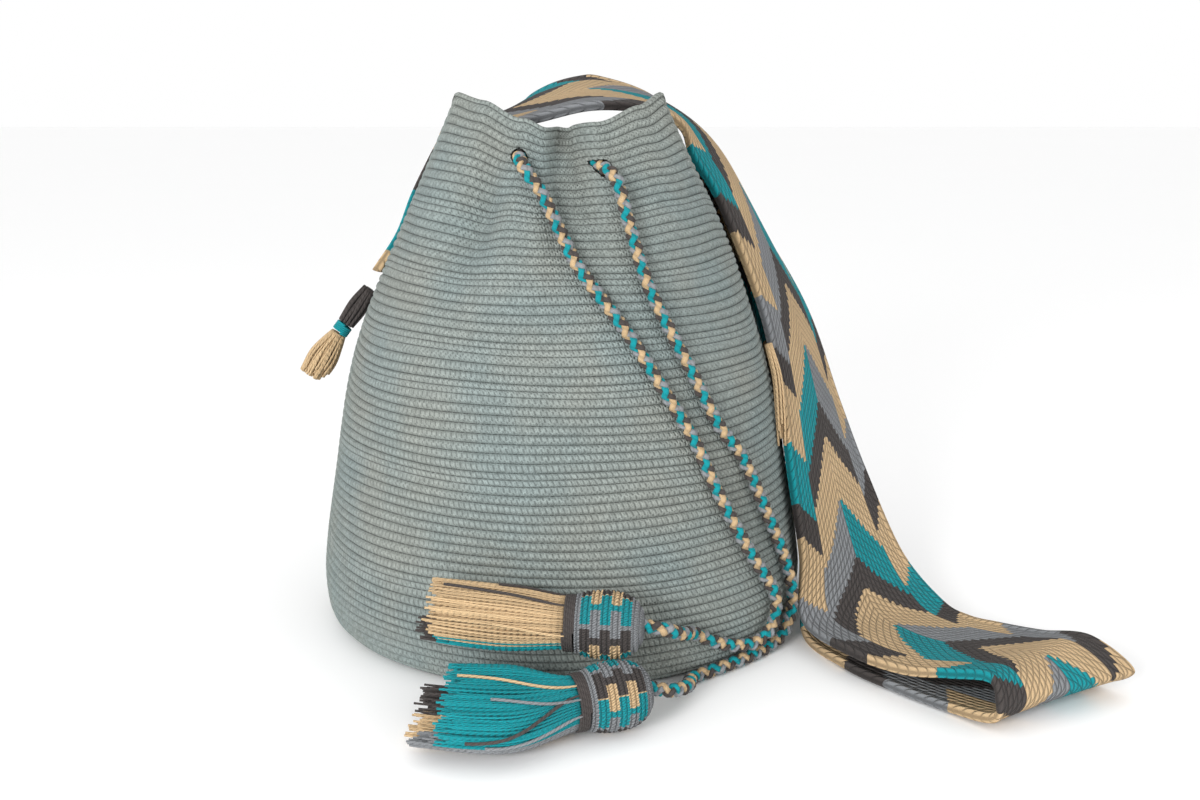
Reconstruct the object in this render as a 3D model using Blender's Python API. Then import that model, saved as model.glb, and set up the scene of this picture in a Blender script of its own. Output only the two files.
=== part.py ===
"""Wayuu mochila bag: crocheted bag body, woven shoulder strap, braided drawstring and two tassels.

Metres, +Z up. The origin is the centre of the flat base, -Y is the front and +X the right-hand side.
Soft pieces are plain closed solids of their outer shape, each in its own object.
"""
import math

import bmesh
import bpy
from mathutils import Vector

# Bag body
EAR_HEIGHT = 0.263
WALL = 0.004
FOLDING_FROM = 0.55          # share of the height above which the mouth's shape takes over
AROUND = 72
ROWS_UP = 22
PROFILE = (                  # height, radius
    (0.000, 0.1130), (0.004, 0.1190), (0.013, 0.1225), (0.030, 0.1235), (0.077, 0.1155),
    (0.125, 0.1075), (0.171, 0.0925), (0.214, 0.0755), (0.263, 0.0530),
)
RIM = (                      # azimuth in degrees, height of the rim there
    (0, 0.2485), (12, 0.2460), (40, 0.2440), (90, 0.2410), (140, 0.2395), (168, 0.2400),
    (182, 0.2430), (200, 0.2630), (225, 0.2600), (250, 0.2520), (265, 0.2475),
    (280, 0.2465), (292, 0.2500), (320, 0.2575), (342, 0.2630), (350, 0.2590),
)
MOUTH_FLATTENING = 0.11      # how much nearer the front and back of the rim are than its sides
PLEAT_AZIMUTH = 277
PLEAT_HALF_WIDTH = 13        # degrees
PLEAT_DEPTH = 0.020

# Strap
STRAP_WIDTH = 0.080
STRAP_THICKNESS = 0.0040
STRAP_ON_WALL = 0.0034       # stand-off of the middle of a sewn layer
LEFT_SEAM_AZIMUTH = 140
RIGHT_SEAM_AZIMUTH = 45
FLARE = 0.007                # how far the free corner of the left end curls off the bag
DOUBLED_LAYER = 0.0088       # stand-off of the strap layer that lies over the right seam
SECTIONS_PER_SPAN = 4
ACROSS = 6                   # width divisions of the strap

# Drawstring
CORD_DIAMETER = 0.0065
EYELET_DIAMETER = 0.0100
EYELET_CUT = 0.018
CORD_IN_MOUTH = -(WALL + CORD_DIAMETER / 2 + 0.0022)

# Tassels
CAP_PROFILE = (              # distance from the cord end, radius
    (0.0000, 0.0045), (0.0020, 0.0090), (0.0060, 0.0125), (0.0120, 0.0145),
    (0.0200, 0.0147), (0.0260, 0.0138), (0.0298, 0.0125),
)
CAP_HALF_LENGTH = 0.0175
BINDING_START = 0.0302
BINDING_END = 0.0350
BINDING_RADIUS = 0.0125
SKIRT_START = 0.0354
SKIRT_NECK = 0.0115
SKIRT_LEAD = 0.025           # how far the skirt runs on straight before it bends
TASSEL_SIDES = 20
TUFT_SIDES = 12
HANK_GAP = 0.0004

SEAM_YARN_DIAMETER = 0.0016
SEAM_YARN_BESIDE = 0.0026    # how far the yarn runs beside the strap's edge

COLOURS = {                  # linear colour, roughness
    "sage": ((0.29, 0.36, 0.35, 1.0), 0.95),
    "teal": ((0.012, 0.37, 0.40, 1.0), 0.85),
    "beige": ((0.73, 0.52, 0.30, 1.0), 0.90),
    "charcoal": ((0.10, 0.085, 0.080, 1.0), 0.92),
    "grey": ((0.30, 0.32, 0.33, 1.0), 0.90),
    "zigzag": ((0.40, 0.33, 0.25, 1.0), 0.90),
}


def interpolate(table, value):
    """Straight-line reading of a two-column table."""
    for (x0, y0), (x1, y1) in zip(table, table[1:]):
        if value <= x1:
            return y0 + (y1 - y0) * (value - x0) / (x1 - x0)
    return table[-1][1]


def smoothstep(low, high, value):
    share = min(max((value - low) / (high - low), 0.0), 1.0)
    return share * share * (3.0 - 2.0 * share)


def rim_height(azimuth):
    """Height of the rim, eased between the control azimuths all the way round."""
    azimuth = azimuth % 360.0
    closed = RIM + ((RIM[0][0] + 360, RIM[0][1]),)
    for (a0, z0), (a1, z1) in zip(closed, closed[1:]):
        if azimuth <= a1:
            return z0 + (z1 - z0) * smoothstep(a0, a1, azimuth)
    return closed[-1][1]


def wall_point(azimuth, height, stand_off=0.0):
    """A point on the outer wall, or stand_off metres outside it.

    height runs from 0 at the base to EAR_HEIGHT at the rim, whatever the rim's own height there.
    """
    fold = max(0.0, (height / EAR_HEIGHT - FOLDING_FROM) / (1.0 - FOLDING_FROM))
    z = height - (EAR_HEIGHT - rim_height(azimuth)) * fold ** 2
    angle = math.radians(azimuth)
    radius = interpolate(PROFILE, height) * (1.0 - MOUTH_FLATTENING * fold * math.sin(angle) ** 2)
    from_pleat = abs((azimuth - PLEAT_AZIMUTH + 180.0) % 360.0 - 180.0) / PLEAT_HALF_WIDTH
    radius -= PLEAT_DEPTH * fold ** 2 * (1.0 - smoothstep(0.5, 1.15, from_pleat))
    below = interpolate(PROFILE, max(height - 0.004, 0.0))
    above = interpolate(PROFILE, min(height + 0.004, EAR_HEIGHT))
    slope = (above - below) / 0.008
    level = 1.0 / math.sqrt(1.0 + slope * slope)
    radius += stand_off * level
    z -= stand_off * slope * level
    return Vector((radius * math.cos(angle), radius * math.sin(angle), z))


def smooth_route(points, steps):
    """Catmull-Rom curve through the route's own points, steps samples to each span."""
    points = [Vector(p) for p in points]
    padded = [2 * points[0] - points[1]] + points + [2 * points[-1] - points[-2]]
    route = []
    for p0, p1, p2, p3 in zip(padded, padded[1:], padded[2:], padded[3:]):
        for step in range(steps):
            t = step / steps
            route.append(0.5 * (2 * p1 + (p2 - p0) * t + (2 * p0 - 5 * p1 + 4 * p2 - p3) * t ** 2
                                + (3 * p1 - p0 - 3 * p2 + p3) * t ** 3))
    route.append(points[-1])
    return route


def evenly_spaced(route, spacing):
    """The same route with its points an equal distance apart."""
    lengths = [0.0]
    for a, b in zip(route, route[1:]):
        lengths.append(lengths[-1] + (b - a).length)
    count = max(2, round(lengths[-1] / spacing))
    spaced = []
    index = 0
    for step in range(count + 1):
        target = lengths[-1] * step / count
        while index < len(route) - 2 and lengths[index + 1] < target:
            index += 1
        share = (target - lengths[index]) / (lengths[index + 1] - lengths[index])
        spaced.append(route[index].lerp(route[index + 1], min(share, 1.0)))
    return spaced


def fabric(name):
    """One yarn material, shared by every piece of that colour."""
    if name in bpy.data.materials:
        return bpy.data.materials[name]
    colour, roughness = COLOURS[name]
    material = bpy.data.materials.new(name)
    material.use_nodes = True
    shader = material.node_tree.nodes["Principled BSDF"]
    shader.inputs["Base Color"].default_value = colour
    shader.inputs["Roughness"].default_value = roughness
    shader.inputs["Metallic"].default_value = 0.0
    return material


def add_object(name, data, colour, parent):
    piece = bpy.data.objects.new(name, data)
    bpy.context.scene.collection.objects.link(piece)
    data.materials.append(fabric(colour))
    piece.parent = parent
    return piece


def lofted_mesh(name, loops):
    """One closed skin over a row of matching loops, capped at both ends."""
    shape = bmesh.new()
    rings = [[shape.verts.new(point) for point in loop] for loop in loops]
    for ring, following in zip(rings, rings[1:]):
        for i in range(len(ring)):
            j = (i + 1) % len(ring)
            shape.faces.new((ring[i], ring[j], following[j], following[i]))
    shape.faces.new(list(reversed(rings[0])))
    shape.faces.new(rings[-1])
    bmesh.ops.recalc_face_normals(shape, faces=shape.faces)
    mesh = bpy.data.meshes.new(name)
    shape.to_mesh(mesh)
    shape.free()
    mesh.shade_smooth()
    mesh.set_sharp_from_angle(angle=math.radians(50))
    return mesh


def tube(name, route, diameter, colour, parent):
    """A round cord along a route, with filled ends."""
    curve = bpy.data.curves.new(name, "CURVE")
    curve.dimensions = "3D"
    curve.bevel_depth = diameter / 2
    curve.bevel_resolution = 2
    curve.use_fill_caps = True
    spline = curve.splines.new("POLY")
    spline.points.add(len(route) - 1)
    for point, place in zip(spline.points, route):
        point.co = (*place, 1.0)
    return add_object(name, curve, colour, parent)


# Bag body ----------------------------------------------------------------------------------

def bag_ring(height, inset):
    return [wall_point(360.0 * i / AROUND, height, -inset) for i in range(AROUND)]


def add_bag_body(parent):
    """Crocheted bag: flat round base, bulging wall and a gathered rim, open at the top."""
    heights = [EAR_HEIGHT * (i / ROWS_UP) ** 1.15 for i in range(ROWS_UP + 1)]
    outside = [bag_ring(height, 0.0) for height in heights]
    inside = [bag_ring(height, WALL) for height in reversed(heights) if height > 0.012]
    floor = []
    for point in inside[-1]:
        floor.append(Vector((point.x * 0.94, point.y * 0.94, WALL)))
    body = add_object("bag_body", lofted_mesh("bag_body", outside + inside + [floor]), "sage", parent)
    cut_eyelet(body, left_tail_route())
    cut_eyelet(body, right_tail_route())
    return body


def cut_eyelet(body, route):
    """A hole through the wall along a tail, whose second point is in the middle of the wall."""
    direction = (route[2] - route[0]).normalized()
    bpy.ops.mesh.primitive_cylinder_add(vertices=16, radius=EYELET_DIAMETER / 2, depth=EYELET_CUT)
    cutter = bpy.context.object
    cutter.name = "eyelet_cutter"
    cutter.location = route[1]
    cutter.rotation_euler = direction.to_track_quat("Z", "Y").to_euler()
    cutter.hide_render = True
    cutter.display_type = "WIRE"
    cut = body.modifiers.new("eyelet", "BOOLEAN")
    cut.operation = "DIFFERENCE"
    cut.solver = "EXACT"
    cut.object = cutter


# Strap -------------------------------------------------------------------------------------

def seam_section(azimuth, height, stand_off, turn, lean, flare=0.0):
    """Section of the strap where it wraps the wall.

    turn is +1 where the far edge has the larger azimuth. lean is the way the strap's right side
    looks, in degrees: 0 away from the bag, 90 up, 180 towards the bag, 270 down into the mouth.
    """
    middle = wall_point(azimuth, height, stand_off)
    reach = turn * math.degrees(STRAP_WIDTH / 2 / math.hypot(middle.x, middle.y))
    rise = STRAP_THICKNESS / 2 * math.sin(math.radians(lean))
    offset = STRAP_THICKNESS / 2 * math.cos(math.radians(lean))
    top = []
    bottom = []
    for i in range(ACROSS + 1):
        v = 2.0 * i / ACROSS - 1.0
        lifted = stand_off + flare * max(-v, 0.0) ** 2
        top.append(wall_point(azimuth + reach * v, height + rise, lifted + offset))
        bottom.append(wall_point(azimuth + reach * v, height - rise, lifted - offset))
    return top + bottom[::-1]


def free_section(centre, across, along, bow):
    """Section of the strap where it hangs or lies free: a thin band, bowed by the curvature given."""
    across = (across - along * across.dot(along)).normalized()
    facing = across.cross(along)
    top = []
    bottom = []
    for i in range(ACROSS + 1):
        v = STRAP_WIDTH * (i / ACROSS - 0.5)
        middle = centre + across * (v * (1.0 - (bow * v) ** 2 / 6.0)) - facing * (bow * v * v / 2.0)
        square = (facing + across * (bow * v)).normalized()
        top.append(middle + square * STRAP_THICKNESS / 2)
        bottom.append(middle - square * STRAP_THICKNESS / 2)
    return top + bottom[::-1]


FREE_STRAP = (               # centre, direction across from the near edge to the far edge, bow
    ((-0.0425, 0.0350, 0.2485), (0.48, 0.87, -0.05), -8.0),
    ((-0.0290, 0.0300, 0.2530), (0.16, 0.98, 0.10), -2.0),
    ((-0.0100, 0.0270, 0.2585), (0.02, 0.99, 0.16), 0.0),
    ((0.0120, 0.0260, 0.2640), (0.00, 0.99, 0.16), 0.0),
    ((0.0320, 0.0310, 0.2630), (0.04, 0.99, 0.10), 0.0),
    ((0.0550, 0.0420, 0.2560), (0.10, 0.99, 0.00), -3.0),
    ((0.0765, 0.0430, 0.2390), (0.17, 0.98, 0.00), -9.0),
    ((0.0945, 0.0390, 0.2110), (0.18, 0.98, 0.00), -9.0),
    ((0.1195, 0.0285, 0.1555), (0.36, 0.93, -0.05), -5.0),
    ((0.1318, 0.0115, 0.1085), (0.48, 0.86, -0.14), -3.0),
    ((0.1385, -0.0085, 0.0727), (0.60, 0.78, -0.17), -1.0),
    ((0.1497, -0.0205, 0.0330), (0.74, 0.65, -0.15), 0.0),
    ((0.1562, -0.0490, 0.0130), (0.79, 0.61, 0.10), 0.0),
    ((0.1690, -0.0760, 0.0112), (0.75, 0.66, 0.00), 0.0),
    ((0.1850, -0.0950, 0.0125), (0.72, 0.69, 0.00), 0.0),
    ((0.2010, -0.1125, 0.0170), (0.79, 0.61, -0.02), 0.0),
    ((0.2160, -0.1285, 0.0215), (0.86, 0.51, -0.05), 0.0),
    ((0.2240, -0.1405, 0.0135), (0.89, 0.45, -0.05), 0.0),
    ((0.2175, -0.1320, 0.0046), (0.87, 0.49, 0.02), 0.0),
    ((0.2020, -0.1140, 0.0032), (0.79, 0.61, 0.01), 0.0),
    ((0.1850, -0.0950, 0.0027), (0.72, 0.69, 0.00), 0.0),
    ((0.1690, -0.0740, 0.0027), (0.75, 0.66, 0.00), 0.0),
    ((0.1590, -0.0450, 0.0040), (0.78, 0.62, 0.13), 0.0),
    ((0.1560, -0.0110, 0.0220), (0.66, 0.74, -0.15), 0.0),
    ((0.1425, 0.0150, 0.0600), (0.38, 0.90, -0.20), 1.0),
    ((0.1215, 0.0420, 0.1000), (0.10, 0.95, -0.25), 4.0),
    ((0.1030, 0.0575, 0.1400), (-0.18, 0.95, -0.22), 6.0),
    ((0.0855, 0.0645, 0.1740), (-0.42, 0.89, -0.16), 9.0),
    ((0.0665, 0.0660, 0.2010), (-0.60, 0.80, -0.08), 10.0),
)


def strap_sections():
    """Sections from the strap's left end round to its right end, before smoothing."""
    left = LEFT_SEAM_AZIMUTH
    right = RIGHT_SEAM_AZIMUTH
    sections = [seam_section(left, 0.170, STRAP_ON_WALL, -1, 180, FLARE)]
    for height in (0.195, 0.220, 0.240, 0.256):
        sections.append(seam_section(left, height, STRAP_ON_WALL, -1, 180))
    centres = [Vector(centre) for centre, across, bow in FREE_STRAP]
    for i, (centre, across, bow) in enumerate(FREE_STRAP):
        along = (centres[min(i + 1, len(centres) - 1)] - centres[max(i - 1, 0)]).normalized()
        sections.append(free_section(centres[i], Vector(across), along, bow))
    sections.append(seam_section(right, 0.2230, DOUBLED_LAYER, 1, 0))
    sections.append(seam_section(right, 0.2320, DOUBLED_LAYER - 0.0006, 1, 20))
    sections.append(seam_section(right, 0.2360, (DOUBLED_LAYER + STRAP_ON_WALL) / 2, 1, 90))
    sections.append(seam_section(right, 0.2320, STRAP_ON_WALL + 0.0006, 1, 160))
    for height in (0.223, 0.198, 0.172, 0.147):
        sections.append(seam_section(right, height, STRAP_ON_WALL, 1, 180))
    return sections


def add_strap(parent):
    """The woven band: left seam, over the mouth, down to the floor, back under itself, right seam."""
    columns = [smooth_route(track, SECTIONS_PER_SPAN) for track in zip(*strap_sections())]
    return add_object("strap", lofted_mesh("strap", list(zip(*columns))), "zigzag", parent)


def add_seam_yarn(name, azimuth, low, high, parent):
    """Sewing yarn down one edge of a strap end, under it and up its other edge."""
    places = []
    steps = 5
    for step in range(steps + 1):
        height = high + (low - high) * step / steps
        middle = wall_point(azimuth, height, STRAP_ON_WALL)
        half_turn = math.degrees((STRAP_WIDTH / 2 + SEAM_YARN_BESIDE) / math.hypot(middle.x, middle.y))
        places.append((height, half_turn))
    stand_off = SEAM_YARN_DIAMETER / 2 + 0.0004
    route = [wall_point(azimuth - half_turn, height, stand_off) for height, half_turn in places]
    under = low - 0.0050
    for share in (-0.8, -0.4, 0.0, 0.4, 0.8):
        route.append(wall_point(azimuth + share * places[-1][1], under, stand_off))
    route += [wall_point(azimuth + half_turn, height, stand_off) for height, half_turn in reversed(places)]
    return tube(name, evenly_spaced(smooth_route(route, 4), 0.007), SEAM_YARN_DIAMETER, "charcoal", parent)


# Drawstring --------------------------------------------------------------------------------

def mouth_route():
    """Inside the mouth, from the left eyelet round the back to the right eyelet."""
    places = (
        (240.0, 0.2432), (232.0, 0.2420), (216.0, 0.2400), (196.0, 0.2390), (176.0, 0.2390),
        (156.0, 0.2390), (136.0, 0.2390), (116.0, 0.2390), (96.0, 0.2390), (76.0, 0.2390),
        (56.0, 0.2390), (36.0, 0.2390), (16.0, 0.2390), (356.0, 0.2395), (338.0, 0.2405),
        (322.0, 0.2415), (309.0, 0.2425), (301.0, 0.2430),
    )
    return [wall_point(azimuth, height, CORD_IN_MOUTH) for azimuth, height in places]


def left_tail_route():
    """Out of the left eyelet, slanting down the front to the lower right and back to the upper tassel."""
    on_wall = (
        (248.6, 0.2485, -0.0080), (251.4, 0.2452, -0.0022), (254.8, 0.2408, 0.0036), (259.0, 0.2350, 0.0068),
        (264.6, 0.2260, 0.0062), (272.2, 0.2050, 0.0050), (277.7, 0.1889, 0.0042), (288.6, 0.1617, 0.0037),
        (296.0, 0.1372, 0.0037), (303.3, 0.1119, 0.0037), (308.3, 0.0894, 0.0037), (314.1, 0.0661, 0.0037),
        (319.4, 0.0475, 0.0037), (323.3, 0.0355, 0.0039), (324.8, 0.0262, 0.0043), (322.9, 0.0165, 0.0050),
        (318.0, 0.0128, 0.0053), (311.8, 0.0142, 0.0045), (305.0, 0.0195, 0.0040), (299.0, 0.0265, 0.0048),
    )
    free = ((0.0565, -0.1285, 0.0330), (0.0490, -0.1378, 0.0384), (0.0412, -0.1400, 0.0409))
    return [wall_point(*place) for place in on_wall] + [Vector(place) for place in free]


def right_tail_route():
    """Out of the right eyelet, down outside the left tail, round on the floor to the lower tassel."""
    on_wall = (
        (292.0, 0.2465, -0.0085), (292.6, 0.2415, -0.0028), (293.2, 0.2360, 0.0032), (293.7, 0.2290, 0.0066),
        (294.3, 0.2200, 0.0062), (295.4, 0.2085, 0.0045), (298.0, 0.1782, 0.0037), (305.2, 0.1420, 0.0037),
        (311.0, 0.1170, 0.0037), (318.2, 0.0991, 0.0037), (325.2, 0.0711, 0.0037), (330.3, 0.0480, 0.0037),
        (333.2, 0.0305, 0.0038), (333.4, 0.0180, 0.0045), (330.2, 0.0085, 0.0054), (324.0, 0.0064, 0.0050),
        (316.0, 0.0062, 0.0045),
        (308.0, 0.0062, 0.0045), (300.0, 0.0066, 0.0060),
    )
    free = ((0.0590, -0.1290, 0.0085), (0.0520, -0.1440, 0.0130), (0.0431, -0.1501, 0.0166))
    return [wall_point(*place) for place in on_wall] + [Vector(place) for place in free]


def add_drawstring(parent):
    """One braided cord, in three stretches: a free tail at each end and the run round the mouth."""
    stretches = (
        ("drawstring_mouth_run", mouth_route(), 0.009),
        ("drawstring_left_tail", left_tail_route(), 0.013),
        ("drawstring_right_tail", right_tail_route(), 0.013),
    )
    for name, route, spacing in stretches:
        tube(name, evenly_spaced(smooth_route(route, 12), spacing), CORD_DIAMETER, "teal", parent)


# Tassels -----------------------------------------------------------------------------------

def turned(name, origin, axis, profile, colour, parent):
    """A round solid turned about an axis, from (distance, radius) pairs."""
    side = axis.orthogonal().normalized()
    other = axis.cross(side)
    loops = []
    for distance, radius in profile:
        loop = []
        for i in range(TASSEL_SIDES):
            angle = math.tau * i / TASSEL_SIDES
            loop.append(origin + axis * distance + (side * math.cos(angle) + other * math.sin(angle)) * radius)
        loops.append(loop)
    return add_object(name, lofted_mesh(name, loops), colour, parent)


def skirt_frame(skirt, share):
    """Centre and the two cross directions of a skirt, which leaves the binding square to it."""
    start, control, tip = skirt["line"]
    rest = 1.0 - share
    centre = start * rest * rest + control * 2.0 * share * rest + tip * share * share
    along = ((control - start) * rest + (tip - control) * share).normalized()
    front = Vector((0.0, 0.0, 1.0)).cross(along).normalized()
    return centre, front, along.cross(front)


def hank(name, skirt, sector, reach, colour, parent):
    """One colour's bundle of yarns: a sector of the skirt, from the binding to its own cut ends."""
    start, end = (math.radians(angle) for angle in sector)
    steps = max(3, round((end - start) / 0.35))
    bisector = (start + end) / 2
    clear = HANK_GAP / max(math.sin(min(end - start, math.pi) / 2), 0.3)
    loops = []
    for share in (0.0, 0.12, 0.35, 0.7, reach):
        swell = smoothstep(0.0, 0.8, share)
        width = SKIRT_NECK + (skirt["half_width"] - SKIRT_NECK) * swell
        height = SKIRT_NECK + (skirt["half_height"] - SKIRT_NECK) * swell
        centre, front, up = skirt_frame(skirt, share)
        shift = clear / min(width, height)
        apex = centre + (front * (width * math.cos(bisector)) + up * (height * math.sin(bisector))) * shift
        loop = [apex]
        for i in range(steps + 1):
            angle = start + (end - start) * i / steps
            loop.append(apex + front * (width * math.cos(angle)) + up * (height * math.sin(angle)))
        loops.append(loop)
    return add_object(name, lofted_mesh(name, loops), colour, parent)


def add_tassel(prefix, centre, axis, tip, half_sizes, hanks, parent):
    """Crocheted cap, neck binding and a skirt of cut yarns; axis points from the cord to the skirt."""
    axis = Vector(axis).normalized()
    origin = Vector(centre) - axis * CAP_HALF_LENGTH
    binding = ((BINDING_START, BINDING_RADIUS), (BINDING_END, BINDING_RADIUS))
    turned(f"{prefix}_cap", origin, axis, CAP_PROFILE, "grey", parent)
    turned(f"{prefix}_neck_binding", origin, axis, binding, "charcoal", parent)
    start = origin + axis * SKIRT_START
    skirt = {"line": (start, start + axis * SKIRT_LEAD, Vector(tip)),
             "half_width": half_sizes[0], "half_height": half_sizes[1]}
    for colour, sector, reach in hanks:
        hank(f"{prefix}_{colour}_hank", skirt, sector, reach, colour, parent)


def add_tassels(parent):
    """Sectors run from 0 at the front through 90 at the top to 180 against the bag."""
    upper_hanks = (("beige", (25, 215), 0.97), ("charcoal", (215, 275), 1.04), ("teal", (275, 385), 0.85))
    add_tassel("upper_tassel", (0.0220, -0.1385, 0.0412), (-1.0, 0.08, 0.02),
               (-0.0560, -0.1330, 0.0465), (0.0130, 0.0140), upper_hanks, parent)
    lower_hanks = (("teal", (-25, 195), 0.86), ("charcoal", (195, 240), 1.04),
                   ("beige", (240, 288), 1.04), ("grey", (288, 335), 1.0))
    add_tassel("lower_tassel", (0.0250, -0.1560, 0.0158), (-0.93, -0.30, -0.04),
               (-0.0560, -0.1660, 0.0172), (0.0270, 0.0146), lower_hanks, parent)


# Strap-end fringes -------------------------------------------------------------------------

def tuft(name, places, radii, colour, parent):
    """A bundle of loose yarn ends: round sections of the given radii at the given places."""
    places = [Vector(place) for place in places]
    loops = []
    for i, radius in enumerate(radii):
        along = (places[min(i + 1, len(places) - 1)] - places[max(i - 1, 0)]).normalized()
        side = Vector((0.0, 1.0, 0.0)).cross(along).normalized()
        other = along.cross(side)
        loop = []
        for step in range(TUFT_SIDES):
            angle = math.tau * step / TUFT_SIDES
            loop.append(places[i] + (side * math.cos(angle) + other * math.sin(angle)) * radius)
        loops.append(loop)
    return add_object(name, lofted_mesh(name, loops), colour, parent)


def add_fringes(parent):
    """The strap's warp ends, left hanging below each seam."""
    tuft("left_fringe_charcoal",
         ((-0.1020, 0.0330, 0.1620), (-0.1085, 0.0320, 0.1530), (-0.1150, 0.0310, 0.1440)),
         (0.0036, 0.0052, 0.0042), "charcoal", parent)
    tuft("left_fringe_binding",
         ((-0.1155, 0.0309, 0.1433), (-0.1170, 0.0306, 0.1413), (-0.1185, 0.0303, 0.1393)),
         (0.0042, 0.0046, 0.0042), "teal", parent)
    tuft("left_fringe_beige",
         ((-0.1190, 0.0302, 0.1386), (-0.1225, 0.0295, 0.1335),
          (-0.1275, 0.0285, 0.1260), (-0.1335, 0.0270, 0.1165)),
         (0.0038, 0.0058, 0.0078, 0.0070), "beige", parent)
    tuft("right_fringe",
         ((0.1040, -0.0175, 0.1420), (0.1080, -0.0240, 0.1270),
          (0.1093, -0.0297, 0.1110), (0.1102, -0.0348, 0.0940)),
         (0.0018, 0.0025, 0.0026, 0.0022), "beige", parent)


def main():
    for old in list(bpy.data.objects):
        bpy.data.objects.remove(old, do_unlink=True)
    mochila = bpy.data.objects.new("mochila", None)
    bpy.context.scene.collection.objects.link(mochila)
    add_bag_body(mochila)
    add_strap(mochila)
    add_seam_yarn("left_seam_yarn", LEFT_SEAM_AZIMUTH, 0.170, 0.225, mochila)
    add_seam_yarn("right_seam_yarn", RIGHT_SEAM_AZIMUTH, 0.147, 0.225, mochila)
    add_drawstring(mochila)
    add_tassels(mochila)
    add_fringes(mochila)


main()
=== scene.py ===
"""Wayuu mochila bag: crocheted bag body, woven zigzag strap, braided drawstring and two yarn tassels.

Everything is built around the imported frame, in metres, +Z up, -Y the front and +X the right-hand side.
The walls, the strap and the cords follow the same routes as the CAD solids that they replace.
"""
import math
import random

import bmesh
import bpy
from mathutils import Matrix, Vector


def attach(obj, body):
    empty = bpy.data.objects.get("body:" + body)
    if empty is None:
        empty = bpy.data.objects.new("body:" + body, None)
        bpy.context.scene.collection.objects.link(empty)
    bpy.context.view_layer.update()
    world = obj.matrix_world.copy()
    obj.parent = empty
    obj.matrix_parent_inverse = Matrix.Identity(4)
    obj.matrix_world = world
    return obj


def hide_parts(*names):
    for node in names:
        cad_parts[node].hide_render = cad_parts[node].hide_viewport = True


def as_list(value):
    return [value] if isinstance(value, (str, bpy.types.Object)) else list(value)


# Bag body, as in the CAD model
EAR_HEIGHT = 0.263
WALL = 0.004
FOLDING_FROM = 0.55
PROFILE = (                  # height, radius
    (0.000, 0.1130), (0.004, 0.1190), (0.013, 0.1225), (0.030, 0.1235), (0.077, 0.1155),
    (0.125, 0.1075), (0.171, 0.0925), (0.214, 0.0755), (0.263, 0.0530),
)
RIM = (                      # azimuth in degrees, height of the rim there
    (0, 0.2485), (12, 0.2460), (40, 0.2440), (90, 0.2410), (140, 0.2395), (168, 0.2400),
    (182, 0.2430), (200, 0.2630), (225, 0.2600), (250, 0.2520), (265, 0.2475),
    (280, 0.2465), (292, 0.2500), (320, 0.2575), (342, 0.2630), (350, 0.2590),
)
MOUTH_FLATTENING = 0.11
PLEAT_AZIMUTH = 277
PLEAT_HALF_WIDTH = 13
PLEAT_DEPTH = 0.020

# Crochet rows
ROW_PITCH = 0.0041
FINE_ROW_PITCH = 0.0029
FINE_ROWS = (11, 12, 24, 25, 34, 35, 39, 40, 47, 48, 55, 56)
ROW_DEPTH = 0.0015
FINE_ROW_DEPTH = 0.0005
ROW_SAMPLES = (0.0, 0.14, 0.38, 0.62, 0.86)
STITCH_WIDTH = 0.0027
BODY_AROUND = 216
SEAM_OF_ROWS = 90            # azimuth at which each row's stitch count starts, at the back

# Strap, as in the CAD model
STRAP_WIDTH = 0.080
STRAP_ON_WALL = 0.0034
LEFT_SEAM_AZIMUTH = 140
RIGHT_SEAM_AZIMUTH = 45
LEFT_SEAM_HEIGHTS = (0.170, 0.225)
RIGHT_SEAM_HEIGHTS = (0.147, 0.225)
FLARE = 0.007
DOUBLED_LAYER = 0.0088
STRAP_STEPS = 14             # sections in each span of the strap
STRAP_HALF_THICKNESS = 0.0019
STRAP_EDGE = (               # share of the half width, half thickness: the braided edge
    (0.885, 0.0015), (0.915, 0.0021), (0.945, 0.0024), (0.972, 0.0021), (0.990, 0.0014), (1.000, 0.0004),
)
SEAM_STITCH_STEP = 0.0055
SEAM_YARN_RADIUS = 0.0007
STRAP_COLUMNS = 32           # width divisions between the two braided edges

# Zigzag, all lengths along the strap in metres
BANDS = (0.031, 0.019, 0.034)            # first colour, charcoal, beige
ZIGZAG_PERIOD = 2 * sum(BANDS)
ZIGZAG_START = 0.005
ZIGZAG_VALLEY = 0.62                     # share of the half width where the arms meet the border
ZIGZAG_DROP = 0.034                      # how far an arm falls from the middle to the valley
BORDER_DELAY = 0.060                     # how far the border's bands lie behind the middle's at the valley
BORDER_RISE = 0.0155                     # how far they climb from the valley to the edge
ZIGZAG_SKEW = 0.0095                     # how far the right edge leads the middle
DRAWN_IN_BEFORE = 0.300                  # the band's stitches are closer together up to here
DRAWN_IN = 0.16
RIB_WIDTH = 0.0025
STITCH_LENGTH = 0.0050

# Drawstring, as in the CAD model
CORD_DIAMETER = 0.0065
EYELET_DIAMETER = 0.0076
CORD_IN_MOUTH = -(WALL + CORD_DIAMETER / 2 + 0.0022)
BRAID_PITCH = 0.013
BRAID_STEP = 0.0009
BRAID_MIDDLE = 0.00135       # mean distance of a strand's centre from the cord's, and its swing
BRAID_SWING = 0.00065
BRAID_INTO_CAP = 0.0035

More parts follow.
